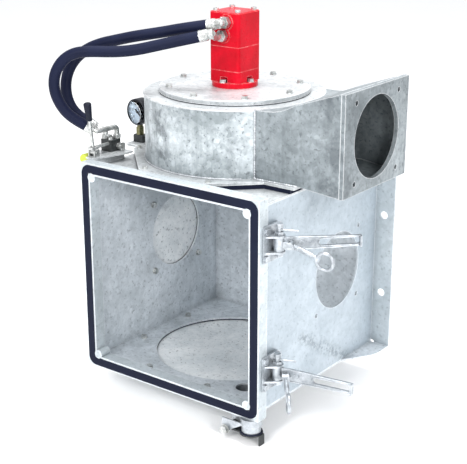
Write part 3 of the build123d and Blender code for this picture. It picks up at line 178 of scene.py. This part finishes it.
class Look:
    """One procedural material round a Principled shader, with short calls for its nodes."""

    def __init__(self, name, metallic=0.0, **constants):
        self.material = bpy.data.materials.new(name)
        self.material.use_nodes = True
        self.tree = self.material.node_tree
        self.shader = self.tree.nodes["Principled BSDF"]
        self.shader.inputs["Metallic"].default_value = metallic
        for socket, value in constants.items():
            self.shader.inputs[socket.replace("_", " ")].default_value = value
        self.place = self.add("ShaderNodeTexCoord").outputs["Object"]

    def add(self, kind, inputs=(), **settings):
        """A node with its settings, whose inputs are links or constants."""
        node = self.tree.nodes.new(kind)
        for key, value in settings.items():
            setattr(node, key, value)
        for key, value in dict(inputs).items():
            if isinstance(value, bpy.types.NodeSocket):
                self.tree.links.new(value, node.inputs[key])
            else:
                node.inputs[key].default_value = value
        return node

    def upright(self, squeeze):
        """Object coordinates with Z scaled, so that a noise runs in upright streaks."""
        return self.add("ShaderNodeMapping", {
            "Vector": self.place, "Scale": (1, 1, squeeze)}).outputs[0]

    def noise(self, scale, detail=4.0, rough=0.55, twist=0.0, at=None):
        return self.add("ShaderNodeTexNoise", {
            "Vector": at or self.place, "Scale": scale, "Detail": detail,
            "Roughness": rough, "Distortion": twist}).outputs["Fac"]

    def cells(self, scale):
        """One random tone per crystal of a cell pattern."""
        pattern = self.add("ShaderNodeTexVoronoi", {"Vector": self.place, "Scale": scale})
        return self.add("ShaderNodeSeparateColor", {0: pattern.outputs["Color"]}).outputs[0]

    def spread(self, value, low, high, to_low=0.0, to_high=1.0):
        """Maps low..high to to_low..to_high, and holds the ends."""
        return self.add("ShaderNodeMapRange", {
            "Value": value, "From Min": low, "From Max": high,
            "To Min": to_low, "To Max": to_high}).outputs["Result"]

    def times(self, a, b):
        return self.add("ShaderNodeMath", {0: a, 1: b}, operation="MULTIPLY").outputs[0]

    def plus(self, a, b):
        return self.add("ShaderNodeMath", {0: a, 1: b}, operation="ADD").outputs[0]

    def blend(self, amount, a, b):
        """Colour a where amount is 0 and b where it is 1."""
        def full(colour):
            return (*colour, 1) if isinstance(colour, tuple) else colour
        node = self.add("ShaderNodeMix", {0: amount, 6: full(a), 7: full(b)}, data_type="RGBA")
        return node.outputs[2]

    def edges(self, radius):
        """1 on edges, 0 on flat faces."""
        rounded = self.add("ShaderNodeBevel", {"Radius": radius}, samples=4).outputs["Normal"]
        flat = self.add("ShaderNodeNewGeometry").outputs["Normal"]
        same = self.add("ShaderNodeVectorMath", {0: rounded, 1: flat},
                        operation="DOT_PRODUCT").outputs["Value"]
        return self.spread(same, 0.995, 0.85)

    def corners(self, distance):
        """1 in tight corners, 0 in the open."""
        open_air = self.add("ShaderNodeAmbientOcclusion", {"Distance": distance},
                            samples=6).outputs["AO"]
        return self.spread(open_air, 0.75, 0.2)

    def band(self, start, end, width):
        """1 along the line between two points, fading to 0 a width away from it."""
        run = Vector(end) - Vector(start)
        way = tuple(run.normalized())
        offset = self.add("ShaderNodeVectorMath", {0: self.place, 1: start},
                          operation="SUBTRACT").outputs[0]
        gone = self.add("ShaderNodeVectorMath", {0: offset, 1: way},
                        operation="DOT_PRODUCT").outputs["Value"]
        gone = self.spread(gone, 0, run.length, 0, run.length)
        nearest = self.add("ShaderNodeVectorMath", {0: way, "Scale": gone},
                           operation="SCALE").outputs[0]
        gap = self.add("ShaderNodeVectorMath", {0: offset, 1: nearest},
                       operation="DISTANCE").outputs["Value"]
        return self.spread(gap, width, 0)

    def finish(self, colour, roughness, bump, depth, strength):
        """Links the colour, roughness and bump height, and gives the material back."""
        self.tree.links.new(colour, self.shader.inputs["Base Color"])
        self.tree.links.new(roughness, self.shader.inputs["Roughness"])
        relief = self.add("ShaderNodeBump", {
            "Height": bump, "Strength": strength, "Distance": depth}).outputs["Normal"]
        self.tree.links.new(relief, self.shader.inputs["Normal"])
        return self.material


def galvanised(name, light, dark, stain_and_shade, contrast, streaks, metallic=0.45, marks=()):
    """Hot-dip zinc: crystals, clouds, upright runs, flecks, specks, painted shade in corners,
    and lighter edges that are partly worn zinc and partly a painted highlight.

    Each mark is (start, end, width, strength, grain): a darker band on the sheet."""
    look = Look(name, metallic)
    cloud = look.noise(7, 6, 0.62, 0.4)
    grain = look.noise(260, 3, 0.6)
    crystals = look.cells(95)
    tone = look.spread(look.plus(cloud, look.times(crystals, 0.12)), 0.36, 0.72)
    runs = look.spread(look.noise(48, 6, 0.65, 0.2, at=look.upright(0.08)), 0.5, 0.75)
    blotches = look.spread(look.noise(16, 8, 0.7, 1.2), 0.57, 0.70)
    flecks = look.spread(look.noise(75, 6, 0.7, 0.3), 0.46, 0.64)
    specks = look.spread(look.noise(150, 2, 0.5), 0.62, 0.70)
    colour = look.blend(look.times(tone, contrast), light, dark)
    # Runs and flecks are streaks, and blotches and specks are stains; the corner term is painted
    # shade.
    for pattern, amount, over in (
            (runs, streaks, dark), (blotches, 0.35 * contrast, stain_and_shade),
            (flecks, 0.45 * contrast, dark), (specks, 0.55 * contrast, stain_and_shade),
            (look.corners(0.03), 0.55, stain_and_shade)):
        colour = look.blend(look.times(pattern, amount), colour, over)
    # Darker bands: painted shade on the drum and duct, and a dirt streak and a darker band on
    # the right wall.
    for start, end, width, strength, size in marks:
        patches = look.spread(look.noise(size, 5, 0.65), 0.42, 0.6)
        shade_and_dirt = look.times(look.times(look.band(start, end, width), patches), strength)
        colour = look.blend(shade_and_dirt, colour, stain_and_shade)
    # Lighter edges: partly worn bare zinc, partly a painted edge highlight.
    colour = look.blend(look.times(look.edges(0.003), 0.6), colour, bare_zinc_and_highlight)
    rough = look.spread(look.plus(cloud, look.times(crystals, 0.25)), 0.4, 0.9, 0.3, 0.56)
    bump = look.plus(look.times(grain, 0.35), look.plus(look.times(cloud, 1.6), crystals))
    return look.finish(colour, rough, bump, 0.0007, 0.35)


def metal(name, light, dark, rough=(0.22, 0.42), metallic=0.85, scale=60, wear=0.0012):
    """Plated, cast or turned metal with faint scratches and painted shade in corners."""
    look = Look(name, metallic)
    cloud = look.noise(scale, 6, 0.6, 0.3)
    scratches = look.noise(420, 3, 0.6, at=look.upright(0.15))
    colour = look.blend(look.spread(cloud, 0.35, 0.68), light, dark)
    # Painted shade in the corners.
    corner_shade_tone = tuple(0.35 * c for c in dark)
    colour = look.blend(look.times(look.corners(0.006), 0.7), colour, corner_shade_tone)
    edge_tone = tuple(min(1, 1.25 * c + 0.08) for c in light)
    colour = look.blend(look.times(look.edges(wear), 0.7), colour, edge_tone)
    bump = look.plus(cloud, look.times(scratches, 0.5))
    return look.finish(colour, look.spread(scratches, 0.3, 0.7, *rough), bump, 0.0003, 0.35)


def rubber(name, light, dark, rough=(0.35, 0.6), scale=120, shine=0.5):
    """Rubber, plastic or printed card with fine pores and dusty edges."""
    look = Look(name, Specular_IOR_Level=shine)
    cloud = look.noise(scale / 8, 5, 0.6)
    pores = look.noise(scale * 8, 3, 0.6)
    colour = look.blend(look.spread(cloud, 0.35, 0.7), light, dark)
    colour = look.blend(look.times(look.edges(0.0015), 0.35), colour, dusty_edge)
    return look.finish(colour, look.spread(cloud, 0.3, 0.7, *rough), pores, 0.0003, 0.35)


def paint(name, light, dark, chipped_and_highlight):
    """Gloss paint with orange peel, painted shade in corners, and pale worn edges that are
    partly a painted edge highlight.
    """
    look = Look(name, Coat_Weight=0.03, Coat_Roughness=0.12, Specular_IOR_Level=0.12)
    cloud = look.noise(18, 6, 0.6, 0.3)
    peel = look.noise(330, 2, 0.5)
    chips = look.spread(look.noise(120, 5, 0.7), 0.45, 0.6)
    colour = look.blend(look.spread(cloud, 0.35, 0.7), light, dark)
    # Painted shade in the paint's corners.
    colour = look.blend(look.times(look.corners(0.008), 0.6), colour, red_corner_shade)
    # Pale edges where chips fall: partly worn paint, partly a painted edge highlight.
    wear = look.times(look.edges(0.0022), look.spread(chips, 0, 1, 0.25, 0.9))
    colour = look.blend(wear, colour, chipped_and_highlight)
    rough = look.spread(look.noise(70, 4, 0.6), 0.35, 0.7, 0.24, 0.42)
    bump = look.plus(peel, look.times(cloud, 0.6))
    return look.finish(colour, rough, bump, 0.0004, 0.3)


# Darker upright bands on the drum's front-left: painted shade where the drum turns away from the
# light, over its streaks.
drum_shade_marks = (
    ((-0.062, -0.427, 0.29), (-0.066, -0.426, 0.385), 0.045, 0.8, 30),
    ((-0.150, -0.378, 0.25), (-0.150, -0.378, 0.40), 0.06, 0.6, 20))
# A darker band on the duct next to its flange: painted shade.
duct_shade_marks = (((0.335, -0.355, 0.25), (0.335, -0.355, 0.45), 0.08, 0.6, 25),)
wall_marks = (
    ((0.242, -0.314, -0.114), (0.242, -0.122, -0.229), 0.022, 0.8, 110),
    ((0.242, -0.300, 0.190), (0.242, -0.060, 0.190), 0.06, 0.35, 18))

slot_looks = {
    "zinc_sheet": galvanised("zinc_sheet", (0.58, 0.63, 0.66), (0.34, 0.38, 0.40),
                             (0.15, 0.17, 0.19), 0.7, 0.2),
    "casing_zinc": galvanised("casing_zinc", (0.66, 0.71, 0.74), (0.18, 0.21, 0.22),
                              (0.05, 0.06, 0.07), 0.9, 0.8, 0.5, drum_shade_marks),
    "seal_rubber": rubber("seal_rubber", (0.004, 0.006, 0.018), (0.008, 0.011, 0.026),
                          (0.5, 0.7), shine=0.1),
    "hose_rubber": rubber("hose_rubber", (0.003, 0.005, 0.020), (0.007, 0.010, 0.030),
                          (0.45, 0.65), shine=0.13),
    # The last colour is the edge tone: chipped paint and a painted edge highlight.
    "red_paint": paint("red_paint", (0.56, 0.001, 0.014), (0.38, 0.001, 0.008),
                       (0.80, 0.35, 0.33)),
    "plated_steel": metal("plated_steel", (0.66, 0.67, 0.66), (0.28, 0.29, 0.28)),
    "latch_zinc": metal("latch_zinc", (0.50, 0.53, 0.56), (0.20, 0.22, 0.24), (0.25, 0.45),
                        0.75, 45, 0.0018),
    "dark_steel": metal("dark_steel", (0.045, 0.05, 0.052), (0.012, 0.014, 0.015),
                        (0.35, 0.6), 0.3),
    "machined_steel": metal("machined_steel", (0.55, 0.56, 0.57), (0.35, 0.36, 0.37),
                            (0.2, 0.35)),
    "wheel_steel": metal("wheel_steel", (0.36, 0.37, 0.39), (0.18, 0.19, 0.20),
                         (0.35, 0.6), 0.7, 20),
    "bronze": metal("bronze", (0.26, 0.24, 0.12), (0.10, 0.10, 0.05), (0.25, 0.45)),
    "gauge_black": rubber("gauge_black", (0.006, 0.007, 0.010), (0.014, 0.015, 0.02),
                          (0.3, 0.5), 60, 0.2),
    "dial_white": rubber("dial_white", (0.62, 0.72, 0.82), (0.50, 0.60, 0.72), (0.4, 0.6), 30),
    "grip_black": rubber("grip_black", (0.005, 0.007, 0.015), (0.012, 0.014, 0.024),
                         (0.4, 0.6), 60, 0.15),
    "cap_yellow": rubber("cap_yellow", (0.56, 0.62, 0.07), (0.42, 0.48, 0.05),
                         (0.35, 0.55), 60),
}
inner_zinc = galvanised("inner_zinc", (0.76, 0.80, 0.84), (0.42, 0.46, 0.49),
                        (0.16, 0.18, 0.20), 0.9, 0.3, 0.35)
pale_zinc = galvanised("pale_zinc", (0.44, 0.50, 0.55), (0.30, 0.35, 0.39),
                       (0.15, 0.18, 0.20), 0.6, 0.1, 0.3, wall_marks)
roof_zinc = galvanised("roof_zinc", (0.64, 0.66, 0.67), (0.30, 0.32, 0.33),
                       (0.06, 0.07, 0.08), 0.9, 0.1, 0.4)
# A darker copy of the zinc for the outlet duct and its flange: painted shade on the duct's front
# side.
shaded_duct_zinc = galvanised("shaded_duct_zinc", (0.35, 0.39, 0.41), (0.12, 0.14, 0.15),
                       (0.05, 0.06, 0.07), 0.9, 0.5, 0.4, duct_shade_marks)
# A much lighter copy of the zinc for the blank plates: painted glare, a painted highlight.
glare_plate_zinc = galvanised("glare_plate_zinc", (0.98, 0.99, 0.99), (0.66, 0.70, 0.72),
                        (0.06, 0.06, 0.06), 0.9, 0.1, 0.25)
weld_grey = metal("weld_grey", (0.62, 0.64, 0.66), (0.22, 0.24, 0.26), (0.35, 0.55), 0.6, 90)
ink = rubber("dial_ink", (0.004, 0.004, 0.006), (0.008, 0.008, 0.01), (0.5, 0.7), 60, 0.1)

node_looks = {
    "left_wall": inner_zinc, "back_wall": inner_zinc, "floor_sheet": inner_zinc,
    "right_wall": pale_zinc, "blank_plates": glare_plate_zinc, "top_sheet": roof_zinc,
    "fan_base": roof_zinc, "scroll_top": roof_zinc, "cover_disc": roof_zinc,
    "valve_bracket": roof_zinc, "outlet_duct": shaded_duct_zinc, "outlet_flange": shaded_duct_zinc,
    "gauge_needle": ink,
}
for node, cad_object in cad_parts.items():
    for entry in cad_object.material_slots:
        entry.material = node_looks.get(node, slot_looks[entry.material.name])

# ---------------------------------------------------------------- hoses and their ferrules
hose_r = 0.0127
inner_route = (
    (-27, -303, 556), (-81, -325, 546), (-116, -341, 538), (-151, -356, 531), (-186, -370, 524),
    (-221, -384, 515), (-256, -397, 506), (-289, -409, 492), (-318, -419, 469),
    (-337, -427, 438), (-344, -431, 402), (-338, -430, 366), (-320, -423, 337),
    (-294, -410, 319))
outer_route = (
    (-27, -331, 535), (-80, -360, 521), (-110, -376, 513), (-142, -395, 504), (-175, -413, 498),
    (-209, -431, 496), (-243, -448, 496), (-276, -466, 492), (-302, -480, 473),
    (-318, -489, 443), (-321, -490, 407), (-313, -481, 372), (-297, -464, 341),
    (-273, -442, 322))
crimp_from, crimp_to = 0.004, 0.0153
crimp_flats = 8
flat_r = 0.945
ferrule_outline = (
    (0, 0.0128), (0, 0.0135), (0.0035, 0.0135), (0.004, 0.0128), (0.0045, 0.0135),
    (0.009, 0.0135), (0.0095, 0.0131), (0.010, 0.0135), (0.015, 0.0135),
    (0.0155, 0.0129), (0.0185, 0.0124), (0.02, 0.0112))


def crimp(angle, distance):
    """Flats round the middle of a ferrule, none at its ends."""
    if not crimp_from < distance < crimp_to:
        return 1
    half = pi / crimp_flats
    turn = (angle + half) % (2 * half) - half
    return min(1, flat_r / cos(turn))


def make_hose(name, route):
    """A hose along its route, with a crimped ferrule on each end."""
    points = [Vector(p) * MM for p in route]
    curve = bpy.data.curves.new(name, "CURVE")
    curve.dimensions = "3D"
    curve.bevel_depth = hose_r
    curve.bevel_resolution = 8
    curve.resolution_u = 12
    curve.use_fill_caps = True
    spline = curve.splines.new("NURBS")
    spline.points.add(len(points) - 1)
    for control, point in zip(spline.points, points):
        control.co = (*point, 1)
    spline.order_u = 3
    spline.use_endpoint_u = True
    hose = add_object(name, curve, "fan_unit", slot_looks["hose_rubber"])

    bm = bmesh.new()
    for end, before in ((points[0], points[1]), (points[-1], points[-2])):
        lathe(bm, end, (end - before).normalized(), ferrule_outline, crimp)
    ferrules = mesh_piece(f"{name}_ferrules", bm, "fan_unit", slot_looks["plated_steel"],
                          smooth=False)
    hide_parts(name)
    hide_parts("hose_ferrules")


make_hose("hose_inner", inner_route)
make_hose("hose_outer", outer_route)

# ---------------------------------------------------------------- weld beads and drum rim
drum_low, drum_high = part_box("scroll_shell")
disc_low, disc_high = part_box("cover_disc")
duct_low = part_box("outlet_duct")[0]
outlet_low, outlet_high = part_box("outlet_flange")
drum_r = (drum_high.y - drum_low.y) / 2
fan_x = (disc_low.x + disc_high.x) / 2
fan_y = (drum_low.y + drum_high.y) / 2
base_top = drum_low.z
drum_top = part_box("scroll_top")[1].z
base_edge_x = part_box("fan_base")[1].x
seam_x = fan_x + sqrt(drum_r ** 2 - (fan_y - duct_low.y) ** 2)
taper_x = fan_x + 0.162     # where the duct's front side starts to turn in
ring_front, ring_rear = -0.853, 0.717   # between these angles the duct meets the drum
ring_steps = 120
ripple, ring_ripple = 0.45, 0.4
close_off, wide_off = 0.0005, 0.001     # from a sheet's face to the middle of its bead
flange_drop = 0.0015
flange_inset = 0.003


def round_drum(off, z):
    """Points off the drum's side, from the duct's front round to its rear."""
    turn = 2 * pi - (ring_rear - ring_front)
    angles = [ring_front - i * turn / ring_steps for i in range(ring_steps + 1)]
    reach = drum_r + off
    return [Vector((fan_x + reach * cos(a), fan_y + reach * sin(a), z)) for a in angles]


taper = (outlet_low.y - duct_low.y) / (outlet_low.x - taper_x)
base_edge_y = duct_low.y + taper * (base_edge_x - taper_x)
drum_seam = [Vector((seam_x + close_off, duct_low.y - close_off, z))
             for z in (base_top, drum_top)]
foot_seam = [Vector((seam_x, duct_low.y - wide_off, base_top + wide_off)),
             Vector((base_edge_x, base_edge_y - wide_off, base_top + close_off))]
flange_seam = [Vector((outlet_low.x - close_off, y, outlet_high.z - flange_drop))
               for y in (outlet_low.y + flange_inset, outlet_high.y - flange_inset)]
beads = bmesh.new()
sweep(beads, drum_seam, 0.0026, ripple)
sweep(beads, foot_seam, 0.0024, ripple)
sweep(beads, flange_seam, 0.0022, ripple)
sweep(beads, round_drum(wide_off, base_top + wide_off), 0.0024, ring_ripple)
mesh_piece("weld_beads", beads, "fan_unit", weld_grey)

rim_off, rim_drop, rim_r = 0.0006, 0.0022, 0.002
rim = bmesh.new()
sweep(rim, round_drum(rim_off, drum_top - rim_drop), rim_r)
mesh_piece("rolled_rim", rim, "fan_unit", roof_zinc)

# ---------------------------------------------------------------- gauge face
gauge_turn = radians(-5)
scale_start = radians(-45)
scale_sweep = radians(270)
dial_steps = 10
ticks_per_step = 5
long_tick, short_tick, tick_end = 0.76, 0.83, 0.9   # shares of the dial's radius
bold_line, fine_line = 0.0005, 0.00025
number_ring = 0.6
number_size = 0.0075
print_depth = 0.0001
dial_off = 0.0005
dial_low, dial_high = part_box("gauge_dial")
dial_r = (dial_high.z - dial_low.z) / 2
outward = Vector((sin(gauge_turn), -cos(gauge_turn), 0))
dial_front = (dial_low + dial_high) / 2 + outward * dial_off
gauge_frame = Matrix((
    (cos(gauge_turn), 0, outward.x, dial_front.x),
    (sin(gauge_turn), 0, outward.y, dial_front.y),
    (0, 1, 0, dial_front.z),
    (0, 0, 0, 1)))

ticks = bmesh.new()
for i in range(ticks_per_step * dial_steps + 1):
    angle = scale_start + scale_sweep * i / (ticks_per_step * dial_steps)
    fine = i % ticks_per_step
    tick_start, half_width = (short_tick, fine_line) if fine else (long_tick, bold_line)
    way = Vector((cos(angle), sin(angle), 0))
    over = Vector((-sin(angle), cos(angle), 0)) * half_width
    near, far = way * dial_r * tick_start, way * dial_r * tick_end
    outline = [near - over, far - over, far + over, near + over]
    skin(ticks, [[ticks.verts.new(gauge_frame @ (p + Vector((0, 0, z)))) for p in outline]
                 for z in (0, 2 * print_depth)])
mesh_piece("dial_ticks", ticks, "fan_unit", ink, smooth=False)

for i in range(0, dial_steps + 1, 2):
    angle = scale_start + scale_sweep * (dial_steps - i) / dial_steps
    figure = bpy.data.curves.new(f"dial_number_{i}", "FONT")
    figure.body = str(i)
    figure.size = number_size
    figure.extrude = print_depth
    figure.align_x = "CENTER"
    figure.align_y = "CENTER"
    figure.materials.append(ink)
    label = bpy.data.objects.new(f"dial_number_{i}", figure)
    scene.collection.objects.link(label)
    label.matrix_world = gauge_frame @ Matrix.Translation((
        number_ring * dial_r * cos(angle), number_ring * dial_r * sin(angle), print_depth))
    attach(label, "fan_unit")

glass_look = Look("gauge_glass", Transmission_Weight=1.0, IOR=1.2, Specular_IOR_Level=0.3)
smear = glass_look.noise(40, 4, 0.6)
gauge_glass = glass_look.finish(
    glass_look.blend(glass_look.spread(smear, 0.4, 0.7), (0.97, 0.98, 0.99), (0.93, 0.96, 0.98)),
    glass_look.spread(smear, 0.3, 0.7, 0.02, 0.07), smear, 0.0002, 0.1)
lens_gap = 0.0042
lens_r = dial_r - 0.0002
pole_r = 0.0005
lens = bmesh.new()
lathe(lens, dial_front + outward * lens_gap, outward, (
    (0, pole_r), (0, lens_r), (0.0012, lens_r), (0.0016, 0.6 * lens_r), (0.0018, pole_r)))
mesh_piece("gauge_lens", lens, "fan_unit", gauge_glass)

# ---------------------------------------------------------------- pressed rims of the levers
pivot_x, pivot_y = 0.268, -0.443
lever_turns = {"upper": radians(45), "lower": radians(80)}
rim_ends = ((0.032, 0.0136), (0.171, 0.0107))   # along the lever, and up or down from its middle
slot_middle, slot_reach, slot_r = 0.128, 0.037, 0.0088
edge_off, slot_off = 0.0028, 0.0026
edge_r, slot_edge_r = 0.0016, 0.0013
arc_steps = 10
for which, turn in lever_turns.items():
    low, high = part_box(f"latch_lever_{which}")
    pivot = Vector((pivot_x, pivot_y, (low.z + high.z) / 2))
    along = Vector((sin(turn), cos(turn), 0))
    outside = Vector((cos(turn), -sin(turn), 0))
    rims = bmesh.new()
    for sign in (-1, 1):
        sweep(rims, [pivot + along * gone + outside * edge_off + Vector((0, 0, sign * up))
                     for gone, up in rim_ends], edge_r)
    slot_line = [
        pivot + along * (slot_middle + sign * slot_reach + slot_r * cos(a))
        + outside * slot_off + Vector((0, 0, slot_r * sin(a)))
        for sign, first in ((1, -pi / 2), (-1, pi / 2))
        for a in (first + pi * i / arc_steps for i in range(arc_steps + 1))]
    sweep(rims, slot_line, slot_edge_r, closed=True)
    mesh_piece(f"lever_rims_{which}", rims, f"{which}_lever", slot_looks["latch_zinc"])

# ---------------------------------------------------------------- floor and light
floor_reach = 40
floor_cells = 8
floor_gap = 0.001
floor_mesh = bmesh.new()
bmesh.ops.create_grid(floor_mesh, x_segments=floor_cells, y_segments=floor_cells,
                      size=floor_reach)
bmesh.ops.translate(floor_mesh, verts=floor_mesh.verts, vec=(0, 0, cad_box[0].z - floor_gap))
floor_data = bpy.data.meshes.new("studio_floor")
floor_mesh.to_mesh(floor_data)
floor_mesh.free()
studio_floor = bpy.data.objects.new("studio_floor", floor_data)
scene.collection.objects.link(studio_floor)
floor_look = Look("studio_floor", Specular_IOR_Level=0.2)
paper = floor_look.noise(3, 3, 0.5)
floor_data.materials.append(floor_look.finish(
    floor_look.blend(paper, (0.95, 0.95, 0.95), (0.97, 0.97, 0.97)),
    floor_look.spread(paper, 0.3, 0.7, 0.8, 0.9), paper, 0.0005, 0.1))

world = bpy.data.worlds.new("studio")
world.use_nodes = True
background = world.node_tree.nodes["Background"]
background.inputs["Color"].default_value = (0.97, 0.98, 1.0, 1)
background.inputs["Strength"].default_value = 1.0
scene.world = world
scene.view_settings.view_transform = "Standard"


def soft_light(name, spot, aim, size, watts):
    """A round area light at a spot, turned to its aim."""
    lamp = bpy.data.lights.new(name, "AREA")
    lamp.shape = "DISK"
    lamp.size = size
    lamp.energy = watts
    holder = bpy.data.objects.new(name, lamp)
    scene.collection.objects.link(holder)
    holder.location = spot
    holder.rotation_euler = (Vector(aim) - Vector(spot)).to_track_quat("-Z", "Y").to_euler()


middle = (cad_box[0] + cad_box[1]) / 2
soft_light("key", (2.8, -2.0, 1.4), middle, 1.0, 48)
soft_light("front", (0.3, -2.4, 1.3), (-0.01, -0.25, -0.23), 0.8, 27)
soft_light("top", (0.1, -0.3, 3.0), middle, 1.4, 125)
